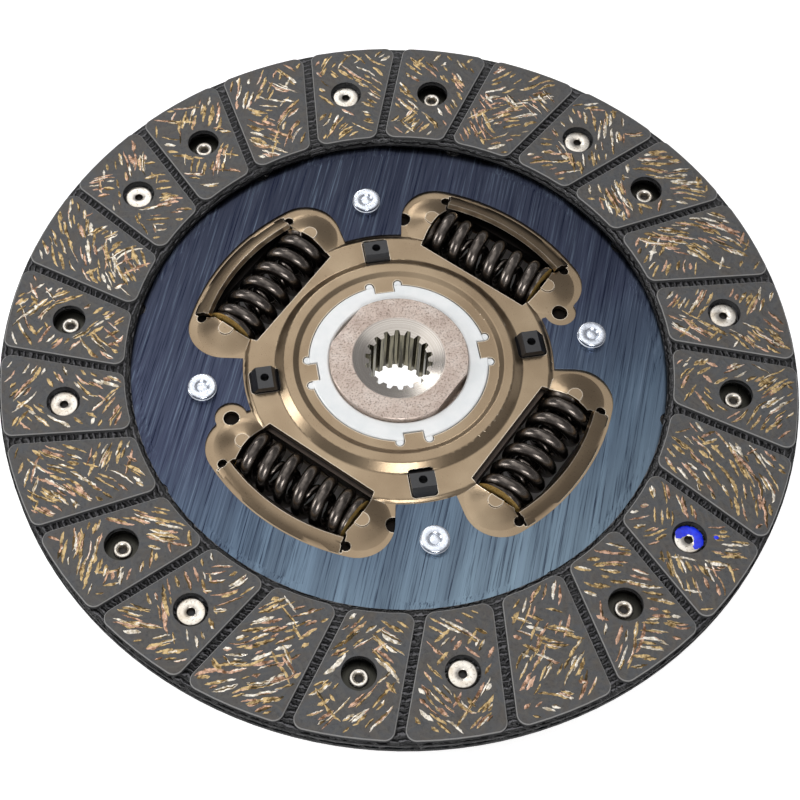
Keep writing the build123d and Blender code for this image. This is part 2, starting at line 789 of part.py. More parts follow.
rear_dish_floor = rear_plate_top - rear_dish_drop
with BuildPart() as hub_bush_rear:
    with BuildSketch(Plane.XY.offset(rear_dish_floor - plate_thickness)):
        Circle(rear_bush_radius)
    extrude(amount=plate_thickness)
    with BuildSketch(Plane.XY.offset(rear_dish_floor)):
        Circle(rear_bush_collar_radius)
    extrude(amount=rear_dish_drop)
    with BuildSketch(Plane.XY.offset(rear_dish_floor - plate_thickness)):
        Circle(hub_barrel_radius + bush_clearance)
    extrude(amount=plate_thickness + rear_dish_drop, mode=Mode.SUBTRACT)
hub_bush_rear.part.label = "hub_bush_rear"
export_step(hub_bush_rear.part, "parts/hub_bush_rear.step")

# ================================================================== friction ring with lugs
annulus_underside = front_plate_bottom + annulus_rise
ring_bottom = annulus_underside - friction_ring_thickness
with BuildPart() as friction_ring:
    with BuildSketch(Plane.XY.offset(ring_bottom)):
        Circle(friction_ring_outer_radius)
        Circle(friction_ring_inner_radius, mode=Mode.SUBTRACT)
    extrude(amount=friction_ring_thickness)
    for angle in spring_angles:
        with BuildSketch(window_plane(angle, ring_bottom)):
            with Locations((0, friction_ring_outer_radius)):
                Rectangle(2 * friction_ring_outer_radius, 2 * (friction_ring_outer_radius - window_inner_edge))
        extrude(amount=friction_ring_thickness, mode=Mode.SUBTRACT)
    with BuildSketch(Plane.XY.offset(annulus_underside)):
        with PolarLocations(lug_circle_radius, pin_count):
            RectangleRounded(lug_radial_length, lug_width, lug_corner_radius)
    extrude(amount=lug_height)
    for number in range(pin_count):
        # the inner and outer faces of each lug lean in towards its top
        with BuildSketch(Plane.XZ.rotated((0, 0, 360 / pin_count * number)).offset(-lug_width)):
            lean = (lug_radial_length - lug_top_length) / 2
            window_top = annulus_underside + plate_thickness
            for side in (1, -1):
                edge = lug_circle_radius + side * lug_radial_length / 2
                with BuildLine():
                    Polyline(
                        (edge, window_top),
                        (edge - side * lean, annulus_underside + lug_height),
                        (edge + side * lean, annulus_underside + lug_height),
                        close=True,
                    )
                make_face()
        extrude(amount=2 * lug_width, mode=Mode.SUBTRACT)
    with BuildSketch(Plane.XY.offset(annulus_underside + 1)):
        with PolarLocations(lug_circle_radius, pin_count):
            Circle(lug_hole_radius)
    extrude(amount=lug_height, mode=Mode.SUBTRACT)
friction_ring.part.label = "friction_ring"
export_step(friction_ring.part, "parts/friction_ring.step")

# ================================================================== rear friction stack
def flat_ring(bottom, thickness):
    """Plain ring of the stack between the flange and the rear dish."""
    with BuildPart() as ring:
        with BuildSketch(Plane.XY.offset(bottom)):
            Circle(stack_outer_radius)
            Circle(stack_inner_radius, mode=Mode.SUBTRACT)
        extrude(amount=thickness)
    return ring.part


friction_washer_bottom = rear_plate_top - friction_washer_thickness
pressure_ring_bottom = friction_washer_bottom - pressure_ring_thickness
with BuildPart() as friction_washer:
    add(flat_ring(friction_washer_bottom, friction_washer_thickness))
friction_washer.part.label = "friction_washer"
export_step(friction_washer.part, "parts/friction_washer.step")

with BuildPart() as pressure_ring:
    add(flat_ring(pressure_ring_bottom, pressure_ring_thickness))
pressure_ring.part.label = "pressure_ring"
export_step(pressure_ring.part, "parts/pressure_ring.step")

with BuildPart() as disc_spring:
    # a shallow cone that presses the ring forwards from the dish
    with BuildSketch(Plane.XZ):
        with BuildLine():
            Polyline(
                (stack_outer_radius, rear_dish_floor),
                (stack_outer_radius, rear_dish_floor + disc_spring_thickness),
                (stack_inner_radius, pressure_ring_bottom),
                (stack_inner_radius, pressure_ring_bottom - disc_spring_thickness),
                close=True,
            )
        make_face()
    revolve(axis=Axis.Z)
disc_spring.part.label = "disc_spring"
export_step(disc_spring.part, "parts/disc_spring.step")
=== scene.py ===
"""Looks of a clutch disc with a sprung hub, laid out as a Blender add-on.

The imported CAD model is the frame. CAD pieces whose shape is right keep it and get their
finish here. The springs, pins, rivets and the fibres in the facings are modelled in mesh.
"""

import math
import random

import bmesh
import bpy
from mathutils import Matrix, Vector
from mathutils.bvhtree import BVHTree
from mathutils.noise import noise as noise_value


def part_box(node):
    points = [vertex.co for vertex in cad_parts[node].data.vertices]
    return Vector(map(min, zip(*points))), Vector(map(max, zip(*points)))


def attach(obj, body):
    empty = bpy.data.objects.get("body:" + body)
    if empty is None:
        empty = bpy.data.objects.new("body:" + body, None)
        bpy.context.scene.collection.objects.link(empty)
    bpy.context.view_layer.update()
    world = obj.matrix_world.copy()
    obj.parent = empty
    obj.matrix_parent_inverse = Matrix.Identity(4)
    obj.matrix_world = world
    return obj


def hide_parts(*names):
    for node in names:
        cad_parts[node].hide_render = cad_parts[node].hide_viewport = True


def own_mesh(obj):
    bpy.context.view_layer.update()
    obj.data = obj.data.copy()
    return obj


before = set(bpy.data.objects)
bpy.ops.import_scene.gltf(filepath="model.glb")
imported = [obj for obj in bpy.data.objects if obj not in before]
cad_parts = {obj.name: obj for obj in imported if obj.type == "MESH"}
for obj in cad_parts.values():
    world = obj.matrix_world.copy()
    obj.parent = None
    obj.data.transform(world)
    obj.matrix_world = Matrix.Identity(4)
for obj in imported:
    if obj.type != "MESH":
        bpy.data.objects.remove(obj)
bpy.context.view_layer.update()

bl_info = {
    "name": "Clutch disc",
    "version": (1, 0, 0),
    "blender": (4, 5, 0),
    "location": "3D View > Sidebar > Clutch disc",
    "description": "Finishes and fine pieces of a clutch disc with a sprung hub",
    "category": "Object",
}

MM = 0.001
DISC_BODY = "disc"

# ------------------------------------------------------------------ sizes read from the frame
FACING_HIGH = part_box("facing_front")[1]
REAR_LOW, REAR_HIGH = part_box("facing_rear")
CUSHION_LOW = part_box("cushion_plate")[0]
PIN_LOW, PIN_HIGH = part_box("stop_pin_1")
RIVET_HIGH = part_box("front_facing_rivets")[1]

# ------------------------------------------------------------------ sizes that are not for changing
CUSHION_GAUGE = 0.8             # millimetres
LEAD_SLOPE = math.atan2(1.75, 5.25)     # depth and width of the hub's lead-in cone
LEAD_SINE, LEAD_COSINE = math.sin(LEAD_SLOPE), math.cos(LEAD_SLOPE)
FACING_BORE = 0.69              # the facing's inner radius, as a share of its outer one
FIBRE_PACE = 0.62 * MM          # between the points of a fibre
FIBRE_ROOM = 0.95 * MM          # between two fibres that do not cross
EDGE_ROOM = 0.7 * MM            # between a fibre and the edge of its pad
CREST_OFFSETS = (2.2, -2.1, -1.5, 2.5)  # millimetres from a spring's middle to a coil's top
CLOSING_START = 0.93            # wires from a spring's end, where its coils close
CLOSED_PITCH = 0.98             # wires from one closed coil to the next
RIVET_SINK = 1.5 * MM           # from the rear facing's surface to its rivet heads
PAINT_HEIGHT = 0.12 * MM
RIB_SPACING = 1.9 * MM          # between the ribs on the groove floors
YARN_WANDER = 22.0              # radians by which the yarns' waves drift over a facing
# the bright line along a plate's edges is a painted highlight
EDGE_HIGHLIGHT_WIDTH = 0.55 * MM          # of the bright line along a plate's edges
CLOUDY = {"Detail": 3.0, "Roughness": 0.6}      # a noise with three octaves, as most finishes have


class ClutchSizes(bpy.types.PropertyGroup):
    """Sizes that a user may change, in metres unless they say otherwise"""

    rivet_circle: bpy.props.FloatProperty(
        name="Rivet circle radius", description="Circle of the facing rivets",
        default=101 * MM, unit="LENGTH")
    rear_rivet_turn: bpy.props.FloatProperty(
        name="Rear rivet turn", description="Rear facing's rivets, from the front facing's",
        default=math.radians(-16.2), subtype="ANGLE")
    spring_circle: bpy.props.FloatProperty(
        name="Spring circle radius", description="Circle of the spring axes",
        default=49.4 * MM, unit="LENGTH")
    spring_height: bpy.props.FloatProperty(
        name="Spring height", description="Height of the spring axes",
        default=14.5 * MM, unit="LENGTH")
    spring_wire: bpy.props.FloatProperty(
        name="Spring wire", description="Diameter of the spring wire",
        default=4.0 * MM, unit="LENGTH")
    spring_radius: bpy.props.FloatProperty(
        name="Spring radius", description="Outer radius of the coils",
        default=8.25 * MM, unit="LENGTH")
    spring_length: bpy.props.FloatProperty(
        name="Spring length", description="Length between the ground ends",
        default=38.2 * MM, unit="LENGTH")
    spring_pitch: bpy.props.FloatProperty(
        name="Spring pitch", description="Distance between open coils",
        default=6.4 * MM, unit="LENGTH")
    pin_circle: bpy.props.FloatProperty(
        name="Stop pin circle radius", description="Circle of the stop pins",
        default=59.8 * MM, unit="LENGTH")
    pad_groove_depth: bpy.props.FloatProperty(
        name="Groove depth", description="Depth of the grooves between the pads",
        default=1.6 * MM, unit="LENGTH")
    inner_radius: bpy.props.FloatProperty(
        name="Inner spring radius", description="Outer radius of the springs inside the springs",
        default=3.95 * MM, unit="LENGTH")
    inner_wire: bpy.props.FloatProperty(
        name="Inner spring wire", description="Diameter of the inner springs' wire",
        default=2.4 * MM, unit="LENGTH")
    inner_pitch: bpy.props.FloatProperty(
        name="Inner spring pitch", description="Distance between the inner springs' open coils",
        default=4.3 * MM, unit="LENGTH")
    fibre_count: bpy.props.IntProperty(
        name="Fibres", description="Metal fibres that show in each facing", default=1700)
    fibre_width: bpy.props.FloatProperty(
        name="Fibre width", description="Mean width of the metal fibres in the facings",
        default=1.15 * MM, unit="LENGTH")
    yarn_slant: bpy.props.FloatProperty(
        name="Yarn slant", description="Angle of the wound yarns to the ring",
        default=math.radians(42), subtype="ANGLE")
    yarn_spacing: bpy.props.FloatProperty(
        name="Yarn spacing", description="Distance between neighbouring yarns",
        default=2.6 * MM, unit="LENGTH")


class ClutchColours(bpy.types.PropertyGroup):
    """Surface colours, as sRGB"""

    friction: bpy.props.StringProperty(
        name="Friction composite", description="Moulded pad surface", default="#4b4c4e")
    cushion: bpy.props.StringProperty(
        name="Blued steel", description="Cushion plate", default="#41475a")
    retainer: bpy.props.StringProperty(
        name="Yellow zinc", description="Retainer plates", default="#917f68")
    hub: bpy.props.StringProperty(
        name="Forged steel", description="Hub", default="#c9b9ae")
    spring: bpy.props.StringProperty(
        name="Spring wire", description="Oiled spring steel", default="#756e68")
    nylon: bpy.props.StringProperty(
        name="Natural nylon", description="Hub bushes", default="#f1f2f1")
    lug: bpy.props.StringProperty(
        name="Black nylon", description="Friction ring", default="#1e1e22")
    pin: bpy.props.StringProperty(
        name="Clear zinc", description="Stop pins", default="#e0e5ee")
    rivet: bpy.props.StringProperty(
        name="Rivet", description="Facing rivets", default="#efe8dc")


# ------------------------------------------------------------------ small helpers
def sizes():
    return bpy.context.scene.clutch_sizes


def colours():
    return bpy.context.scene.clutch_colours


def linear(hex_colour):
    """sRGB hex to linear RGBA."""
    parts = [int(hex_colour[i:i + 2], 16) / 255 for i in (1, 3, 5)]
    return tuple(p / 12.92 if p <= 0.04045 else ((p + 0.055) / 1.055) ** 2.4 for p in parts) + (1.0,)


def polar(radius, angle, height=0.0):
    return Vector((radius * math.cos(angle), radius * math.sin(angle), height))


def add(tree, kind, inputs=(), out="", stops=(), **settings):
    """One shader node with its settings and links: returns an output, or the node if out is None.

    An input is a value, an sRGB hex colour or another node's output. A stop of a colour ramp is a
    position with an sRGB hex colour or a plain value.
    """
    node = tree.nodes.new("ShaderNode" + kind)
    for key, value in settings.items():
        setattr(node, key, value)
    for key, value in inputs.items() if isinstance(inputs, dict) else enumerate(inputs):
        if isinstance(value, bpy.types.NodeSocket):
            tree.links.new(value, node.inputs[key])
        else:
            node.inputs[key].default_value = linear(value) if isinstance(value, str) else value
    for number, (position, stop) in enumerate(stops):
        elements = node.color_ramp.elements
        element = elements[number] if number < len(elements) else elements.new(1.0)
        element.position = position
        element.color = linear(stop) if isinstance(stop, str) else (stop, stop, stop, 1.0)
    if out is None:
        return node
    return node.outputs[out] if out else next((o for o in node.outputs if o.enabled), None)


def new_material(name):
    """An empty material and its tree."""
    material = bpy.data.materials.new(name)
    material.use_nodes = True
    material.node_tree.nodes.clear()
    return material, material.node_tree


def surface(tree, **values):
    """The shader with its values and the output; an underscore in a name stands for a space."""
    sockets = {key.replace("_", " "): value for key, value in values.items()}
    add(tree, "OutputMaterial", {"Surface": add(tree, "BsdfPrincipled", sockets)})


def place(tree, turn=0.0, scale=(1.0, 1.0, 1.0)):
    """Object coordinates in millimetres, turned about the axis and stretched."""
    where = add(tree, "TexCoord", out="Object")
    turned = add(tree, "Mapping", {"Vector": where, "Rotation": (0, 0, -turn)})
    return add(tree, "Mapping", {"Vector": turned, "Scale": tuple(s / MM for s in scale)})


def from_axis(tree, vector):
    """Across, along and away from the disc's axis: x, y and the radius of a vector."""
    split = add(tree, "SeparateXYZ", (vector,), out=None)
    x, y = split.outputs["X"], split.outputs["Y"]
    squares = [add(tree, "Math", (side, side), operation="MULTIPLY") for side in (x, y)]
    total = add(tree, "Math", squares, operation="ADD")
    return x, y, add(tree, "Math", (total,), operation="SQRT")


def upward(tree, normal="True Normal"):
    """How far a face looks up, and the same whether it looks up or down: 1 if level, 0 if upright."""
    up = add(tree, "SeparateXYZ", (add(tree, "NewGeometry", out=normal),), out="Z")
    return up, add(tree, "Math", (up,), operation="ABSOLUTE")


def weighed(tree, *terms):
    """Sum of the terms, each a value and its weight."""
    total = None
    for value, weight in terms:
        part = add(tree, "Math", (value, weight), operation="MULTIPLY")
        total = add(tree, "Math", (total, part), operation="ADD") if total else part
    return total


def layered(tree, base, *layers):
    """Lays each (mask, colour) over the ones before, as coats, stains and wear lie on a surface."""
    for mask, colour in layers:
        base = add(tree, "Mix", {"Factor": mask, "A": base, "B": colour}, data_type="RGBA")
    return base


def mesh_piece(name, verts, faces, material):
    """A smooth piece of the disc's body."""
    mesh = bpy.data.meshes.new(name)
    mesh.from_pydata([tuple(v) for v in verts], [], faces)
    mesh.validate()
    mesh.update()
    mesh.materials.append(material)
    for polygon in mesh.polygons:
        polygon.use_smooth = True
    piece = bpy.data.objects.new(name, mesh)
    bpy.context.scene.collection.objects.link(piece)
    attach(piece, DISC_BODY)
    return piece


def lathe(profile, centre, steps, flip):
    """Vertices and faces of a closed (radius, height) profile turned about a vertical axis."""
    verts, faces = [], []
    for step in range(steps):
        angle = 2 * math.pi * step / steps
        for radius, height in profile:
            verts.append(Vector(centre) + polar(radius, angle, height))
    count = len(profile)
    for step in range(steps):
        after = (step + 1) % steps
        for i in range(count):
            j = (i + 1) % count
            quad = (step * count + i, after * count + i, after * count + j, step * count + j)
            faces.append(quad if not flip else quad[::-1])
    return verts, faces


def dress(node, material, bevel=0.12 * MM, angle=32, segments=2, split=False):
    """A CAD piece that keeps its shape: its finish, and edges broken as real ones are."""
    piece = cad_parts[node]
    piece.data.materials.clear()
    piece.data.materials.append(material)
    for polygon in piece.data.polygons:
        polygon.use_smooth = True
        polygon.material_index = 0
    weld = piece.modifiers.new("weld", "WELD")
    weld.merge_threshold = 0.002 * MM
    merge = piece.modifiers.new("merge flats", "DECIMATE")
    merge.decimate_type = "DISSOLVE"
    merge.angle_limit = math.radians(0.6)
    if bevel:
        edge = piece.modifiers.new("edge break", "BEVEL")
        edge.width = bevel
        edge.segments = segments
        edge.limit_method = "ANGLE"
        edge.angle_limit = math.radians(angle)
        edge.use_clamp_overlap = True
        edge.harden_normals = True
        edge.miter_outer = "MITER_SHARP"
    if split:
        hard = piece.modifiers.new("hard edges", "EDGE_SPLIT")
        hard.split_angle = math.radians(angle)
    weighted = piece.modifiers.new("flat faces flat", "WEIGHTED_NORMAL")
    weighted.mode = "FACE_AREA_WITH_ANGLE"
    weighted.weight = 80
    return piece


def edge_highlight(tree, width):
    """1 along edges, where the painted highlight goes, and 0 on open faces."""
    rounded = add(tree, "Bevel", {"Radius": width}, samples=4)
    plain = add(tree, "NewGeometry", out="Normal")
    agree = add(tree, "VectorMath", (rounded, plain), operation="DOT_PRODUCT")
    return add(tree, "ValToRGB", (agree,), stops=[(0.8, 1.0), (0.975, 0.0)])


# ------------------------------------------------------------------ finishes
def yarn_families(tree, spacing, slant):
    """Height of two crossing sets of yarns that run at a slant round the ring, and the radius."""
    x, y, radius = from_axis(tree, add(tree, "TexCoord", out="Object"))
    theta = add(tree, "Math", (y, x), operation="ARCTAN2")
    count = round(2 * math.pi * sizes().rivet_circle * math.sin(slant) / spacing)
    rate = 2 * math.pi * math.cos(slant) / spacing
    wander = add(tree, "TexNoise", {"Vector": place(tree), "Scale": 0.09})
    phases = [weighed(tree, (theta, sign * float(count)), (radius, rate), (wander, YARN_WANDER))
              for sign in (1, -1)]
    return [add(tree, "Math", (phase,), operation="SINE") for phase in phases], radius


def friction_composite():
    """Moulded organic composite: a dull slate matrix with its wound yarns just showing."""
    material, tree = new_material("friction_composite_moulded")
    (one, other), radius = yarn_families(tree, sizes().yarn_spacing, sizes().yarn_slant)
    coords = place(tree)
    patch = add(tree, "TexNoise", {"Vector": coords, "Scale": 0.13, "Roughness": 0.6})
    choose = add(tree, "ValToRGB", (patch,), stops=[(0.46, 0.0), (0.54, 1.0)])
    yarn = layered(tree, one, (choose, other))
    fleck = add(tree, "TexNoise", {"Vector": coords, "Scale": 1.1, "Detail": 3.0, "Roughness": 0.65})
    cloud = add(tree, "TexNoise", {
        "Vector": coords, "Scale": 0.2, **CLOUDY, "Distortion": 0.6})
    level = upward(tree)[1]
    # painted highlight: the pads' chamfers, sloped between level and upright, get a pale grey
    chamfer_highlight = add(tree, "ValToRGB", (level,), stops=[
        (0.25, 0.0), (0.45, 1.0), (0.9, 1.0), (0.97, 0.0)])
    base = layered(
        tree, linear(colours().friction),
        (add(tree, "ValToRGB", (cloud,), stops=[(0.4, 0.0), (0.68, 1.0)]), "#4f4a45"),
        (add(tree, "ValToRGB", (yarn,), stops=[(0.3, 0.0), (0.95, 0.35)]), "#5c5850"),
        (add(tree, "ValToRGB", (fleck,), stops=[(0.3, 0.6), (0.48, 0.0)]), "#313131"),
        (add(tree, "Math", (chamfer_highlight, 0.75), operation="MULTIPLY"), "#8f8e8c"),
        # painted shade: the upright faces, the pads' walls and the facing's rims, nearly black
        (add(tree, "ValToRGB", (level,), stops=[(0.1, 1.0), (0.4, 0.0)]), "#141416"))
    # groove floors: painted shade, near black, with moulded ribs whose crests get a paler painted
    # highlight
    height = add(tree, "SeparateXYZ", (add(tree, "TexCoord", out="Object"),), out="Z")
    middle = (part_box("facing_front")[0].z + REAR_HIGH.z) / 2
    above = add(tree, "Math", (height, middle), operation="SUBTRACT")
    depth = add(tree, "Math", (above,), operation="ABSOLUTE")
    half_way = FACING_HIGH.z - middle - sizes().pad_groove_depth * 0.5
    in_groove = add(tree, "Math", (depth, half_way), operation="LESS_THAN")
    flat = add(tree, "ValToRGB", (level,), stops=[(0.9, 0.0), (0.98, 1.0)])
    floor = add(tree, "Math", (in_groove, flat), operation="MULTIPLY")
    smear = add(tree, "TexNoise", {"Vector": coords, "Scale": 0.45, **CLOUDY})
    phase = weighed(tree, (radius, 2 * math.pi / RIB_SPACING), (smear, 9.0))
    ribs = add(tree, "Math", (
        add(tree, "Math", (phase,), operation="SINE"),
        add(tree, "Math", (smear, 2.0), operation="MULTIPLY")), operation="MULTIPLY")
    # painted highlight: the rib crests paler than the painted shade of the floor
    crest = add(tree, "ValToRGB", (ribs,), stops=[(0.5, 0.0), (0.95, 1.0)])
    base = layered(tree, base, (floor, layered(tree, linear("#101011"), (crest, "#5c5b5e"))))
    floor_ribs = add(tree, "Math", (ribs, floor), operation="MULTIPLY")
    relief = weighed(tree, (yarn, 0.3), (fleck, 1.4), (floor_ribs, 4.0))
    surface(tree, Base_Color=base, Metallic=0.0, IOR=1.52,
            Roughness=add(tree, "ValToRGB", (floor,), stops=[(0.0, 0.58), (1.0, 0.3)]),
            Normal=add(tree, "Bump", {"Height": relief, "Distance": 0.08 * MM}))
    return material


def blued_steel():
    """Cold-rolled spring strip, tempered blue: straight rolling grain, a tempering hue that drifts at
    random, a painted reflection that lightens it towards -Y, and painted shade where the facings cover
    it.
    """
    material, tree = new_material("spring_steel_blued")
    along = place(tree, math.radians(68), (0.02, 1.0, 1.0))
    fine = add(tree, "TexNoise", {"Vector": along, "Scale": 1.6, "Detail": 4.0, "Roughness": 0.65})
    broad = add(tree, "TexNoise", {"Vector": along, "Scale": 0.22, **CLOUDY})
    x, y, radius = from_axis(tree, place(tree))
    drift = add(tree, "TexNoise", {"Vector": place(tree), "Scale": 0.018})
    # painted reflection: the colour lightens towards -Y, the side nearer the camera; the drift term
    # varies the tempering hue at random
    temper_and_reflection = add(tree, "Math", (
        weighed(tree, (y, -1 / 170), (x, 1 / 1400), (drift, 0.45)), 0.28), operation="ADD")
    streak = add(tree, "ValToRGB", (broad,), stops=[(0.35, 0.0), (0.65, 1.0)])
    # painted shade where the facings cover the plate, between these radii, in millimetres
    reach = 200
    share = add(tree, "Math", (radius, 1 / reach), operation="MULTIPLY")
    shade_under_facings = add(tree, "ValToRGB", (share,), stops=[
        (92.4 / reach, 0.0), (93.6 / reach, 1.0), (108 / reach, 1.0), (110 / reach, 0.0)])
    base = layered(
        tree, add(tree, "ValToRGB", (temper_and_reflection,), stops=[
            (0.0, "#343845"), (0.3, "#3b4050"), (0.5, colours().cushion),
            (0.75, "#5d6e80"), (1.0, "#7b8f9e")]),
        (add(tree, "Math", (streak, 0.45), operation="MULTIPLY"), "#2a2e3c"),
        (add(tree, "ValToRGB", (fine,), stops=[(0.34, 0.85), (0.48, 0.0)]), "#1a1f31"),
        (add(tree, "ValToRGB", (fine,), stops=[(0.55, 0.0), (0.8, 0.6)]), "#8091a5"),
        (shade_under_facings, "#3b3a35"))
    relief = add(tree, "Math", (
        fine, add(tree, "Math", (broad, 0.5), operation="MULTIPLY")), operation="ADD")
    # the waves of the paddles begin so gently that they do not show outside the facing
    up, level = upward(tree, "Normal")
    flat = add(tree, "CombineXYZ", {"Z": add(tree, "Math", (up,), operation="SIGN")})
    steady = layered(tree, add(tree, "NewGeometry", out="Normal"), (
        add(tree, "ValToRGB", (level,), stops=[(0.9, 0.0), (0.93, 1.0)]), flat))
    surface(tree, Base_Color=base, Metallic=1.0, Anisotropic=0.5,
            Roughness=add(tree, "ValToRGB", (fine,), stops=[(0.3, 0.26), (0.7, 0.4)]),
            Normal=add(tree, "Bump", {"Height": relief, "Distance": 0.012 * MM, "Normal": steady}))
    return material


def yellow_zinc():
    """Pressed steel with a yellow zinc plating: satin, its tone drifting a little."""
    material, tree = new_material("steel_yellow_zinc_pressed")
    coords = place(tree)
    drift = add(tree, "TexNoise", {"Vector": coords, "Scale": 0.05, "Detail": 3.0, "Roughness": 0.55})
    fine = add(tree, "TexNoise", {"Vector": coords, "Scale": 2.4, **CLOUDY})
    speck = add(tree, "TexNoise", {"Vector": coords, "Scale": 0.9, "Roughness": 0.6})
    base = layered(
        tree, add(tree, "ValToRGB", (drift,), stops=[
            (0.3, "#86745e"), (0.5, colours().retainer), (0.7, "#9e8c74")]),
        (add(tree, "ValToRGB", (speck,), stops=[(0.68, 0.0), (0.76, 0.5)]), "#6f5f4a"),
        # painted highlight along the edges
        (add(tree, "Math", (edge_highlight(tree, EDGE_HIGHLIGHT_WIDTH), 0.85), operation="MULTIPLY"), "#f3e9d8"))
    surface(tree, Base_Color=base, Metallic=1.0,
            Roughness=add(tree, "ValToRGB", (fine,), stops=[(0.3, 0.27), (0.7, 0.31)]),
            Normal=add(tree, "Bump", {"Height": fine, "Distance": 0.004 * MM}))
    return material


def forged_steel():
    """Forged and shot-blasted steel, pinkish grey, with a bright turned mouth and a dark, streaked
    bore.
    """
    material, tree = new_material("steel_forged_blasted")
    coords = place(tree)
    grit = add(tree, "TexNoise", {"Vector": coords, "Scale": 1.6, "Detail": 4.0, "Roughness": 0.7})
    stain = add(tree, "TexNoise", {"Vector": coords, "Scale": 0.16, **CLOUDY})
    x, y, radius = from_axis(tree, coords)
    # radii in millimetres: the turned mouth ends, the flange begins, and the flange lies in the dark
    mouth, rim = 20, 60
    share = add(tree, "Math", (radius, 1 / mouth), operation="MULTIPLY")
    turned = add(tree, "ValToRGB", (share,), stops=[(13.8 / mouth, 1.0), (14.3 / mouth, 0.0)])
    share = add(tree, "Math", (radius, 1 / rim), operation="MULTIPLY")
    flange = add(tree, "ValToRGB", (share,), stops=[(30 / rim, 0.0), (31.2 / rim, 1.0)])
    shade = add(tree, "ValToRGB", (share,), stops=[(44.4 / rim, "#5d544e"), (48 / rim, "#1f1c1a")])
    rings = add(tree, "TexNoise", {
        "Vector": add(tree, "CombineXYZ", {"X": radius}), "Scale": 3.5, "Detail": 3.0})
    up, level = upward(tree)
    bore = add(tree, "Math", (
        add(tree, "ValToRGB", (level,), stops=[(0.1, 1.0), (0.2, 0.0)]), turned), operation="MULTIPLY")
    streaks = add(tree, "TexNoise", {
        "Vector": place(tree, 0.0, (1.0, 1.0, 0.05)), "Scale": 1.4, **CLOUDY})
    base = layered(
        tree, add(tree, "ValToRGB", (stain,), stops=[
            (0.3, "#bba99e"), (0.5, colours().hub), (0.72, "#d6cac1")]),
        (add(tree, "ValToRGB", (grit,), stops=[(0.34, 0.9), (0.5, 0.0)]), "#85766c"),
        (turned, add(tree, "ValToRGB", (rings,), stops=[(0.3, "#aea59b"), (0.7, "#d9d3cb")])),
        (bore, add(tree, "ValToRGB", (streaks,), stops=[(0.4, "#2e2b22"), (0.6, "#77725f")])),
        (flange, shade))
    rough = layered(
        tree, add(tree, "ValToRGB", (grit,), stops=[(0.3, 0.5), (0.7, 0.38)]),
        (turned, (0.24, 0.24, 0.24, 1.0)))
    # the turned lead-in is a true cone
    towards = add(tree, "VectorMath", (add(tree, "CombineXYZ", (
        add(tree, "Math", (x, -LEAD_SINE), operation="MULTIPLY"),
        add(tree, "Math", (y, -LEAD_SINE), operation="MULTIPLY"),
        add(tree, "Math", (radius, LEAD_COSINE), operation="MULTIPLY"))),), operation="NORMALIZE")
    sloped = add(tree, "ValToRGB", (up,), stops=[(0.3, 0.0), (0.4, 1.0), (0.96, 1.0), (0.985, 0.0)])
    steady = layered(tree, add(tree, "NewGeometry", out="Normal"), (
        add(tree, "Math", (turned, sloped), operation="MULTIPLY"), towards))
    blasted = add(tree, "Math", (1.0, turned), operation="SUBTRACT")
    blast = add(tree, "Math", (grit, blasted), operation="MULTIPLY")
    surface(tree, Base_Color=base, Metallic=1.0, Roughness=rough,
            Normal=add(tree, "Bump", {"Height": blast, "Distance": 0.1 * MM, "Normal": steady}))
    return material


def rivet_steel():
    """Tubular rivet in plated steel, its head dulled by handling."""
    material, tree = new_material("rivet_plated_steel")
    coords = place(tree)
    fine = add(tree, "TexNoise", {"Vector": coords, "Scale": 1.6, **CLOUDY})
    blotch = add(tree, "TexNoise", {"Vector": coords, "Scale": 0.3})
    base = layered(
        tree, add(tree, "ValToRGB", (blotch,), stops=[
            (0.3, "#d8ccba"), (0.5, colours().rivet), (0.7, "#f4efe6")]),
        (add(tree, "ValToRGB", (fine,), stops=[(0.3, 0.6), (0.45, 0.0)]), "#6b5b48"))
    surface(tree, Base_Color=base, Metallic=1.0, Roughness=0.36,
            Normal=add(tree, "Bump", {"Height": fine, "Distance": 0.04 * MM}))
    return material


def mottled(name, noise, stops, relief, **values):
    """A finish of one pattern: the pattern's noise, its colour stops and the depth of its relief."""
    material, tree = new_material(name)
    pattern = add(tree, "TexNoise", {"Vector": place(tree), **noise})
    surface(tree, Base_Color=add(tree, "ValToRGB", (pattern,), stops=stops),
            Normal=add(tree, "Bump", {"Height": pattern, "Distance": relief * MM}), **values)
    return material


def metal_fibre(name, light, dark):
    """Cut brass or copper wire, smeared by the grinding of the pad: bright and dull in turns. The same
    recipe gives the fibres' painted glint and painted shade colours.
    """
    material, tree = new_material(name)
    coords = place(tree)
    spread = add(tree, "TexNoise", {"Vector": coords, "Scale": 0.55, **CLOUDY})
    fine = add(tree, "TexNoise", {"Vector": coords, "Scale": 1.6})
    surface(tree, Metallic=0.75, Roughness=0.3,
            Base_Color=add(tree, "ValToRGB", (spread,), stops=[(0.38, dark), (0.58, light)]),
            Normal=add(tree, "Bump", {"Height": fine, "Distance": 0.25 * MM}))
    return material


def oiled_spring_steel():
    """Black oiled spring wire: dark, with long soft highlights and slight scale."""
    return mottled(
        "spring_wire_oiled", {"Scale": 0.6, **CLOUDY},
        [(0.3, "#4e4844"), (0.7, colours().spring)], 0.004, Metallic=1.0, Roughness=0.27)


def ground_end():
    """Ground spring end, straw-coloured from tempering."""
    return mottled(
        "spring_end_ground", {"Scale": 2.5, "Roughness": 0.6},
        [(0.35, "#b98a35"), (0.65, "#f6d68a")], 0.03, Metallic=0.55, Roughness=0.4)


